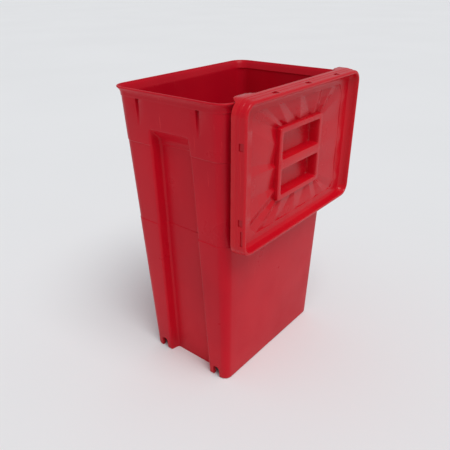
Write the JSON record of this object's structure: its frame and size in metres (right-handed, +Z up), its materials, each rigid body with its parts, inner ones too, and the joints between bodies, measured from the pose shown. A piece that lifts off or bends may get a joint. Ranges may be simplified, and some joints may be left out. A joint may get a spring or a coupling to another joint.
{
  "type": "dog waste bin",
  "caption": "Tapered rectangular waste tub with channelled ends and a flared rim, and a push-on lid with a sunburst panel and recessed grip, hung on the rim.",
  "frame": {"origin": "centre of the tub's foot, on the ground", "axes": "+Z up, the front face that the lid hangs on points along -Y, and the end with the thumb recesses points along -X"},
  "size_m": [0.4324, 0.3269, 0.6483],
  "materials": {
    "tub_plastic": "satin moulded red polypropylene, slightly scuffed",
    "lid_plastic": "semi-gloss moulded red polypropylene"
  },
  "bodies": {
    "tub": {"tub": "tub_plastic"},
    "lid": {"lid": "lid_plastic"}
  },
  "joints": [
    {"name": "lid_lift", "type": "slide", "parent": "tub", "child": "lid", "axis": [0, -0.15, 0.9887], "range_m": [0, 0.33]}
  ]
}
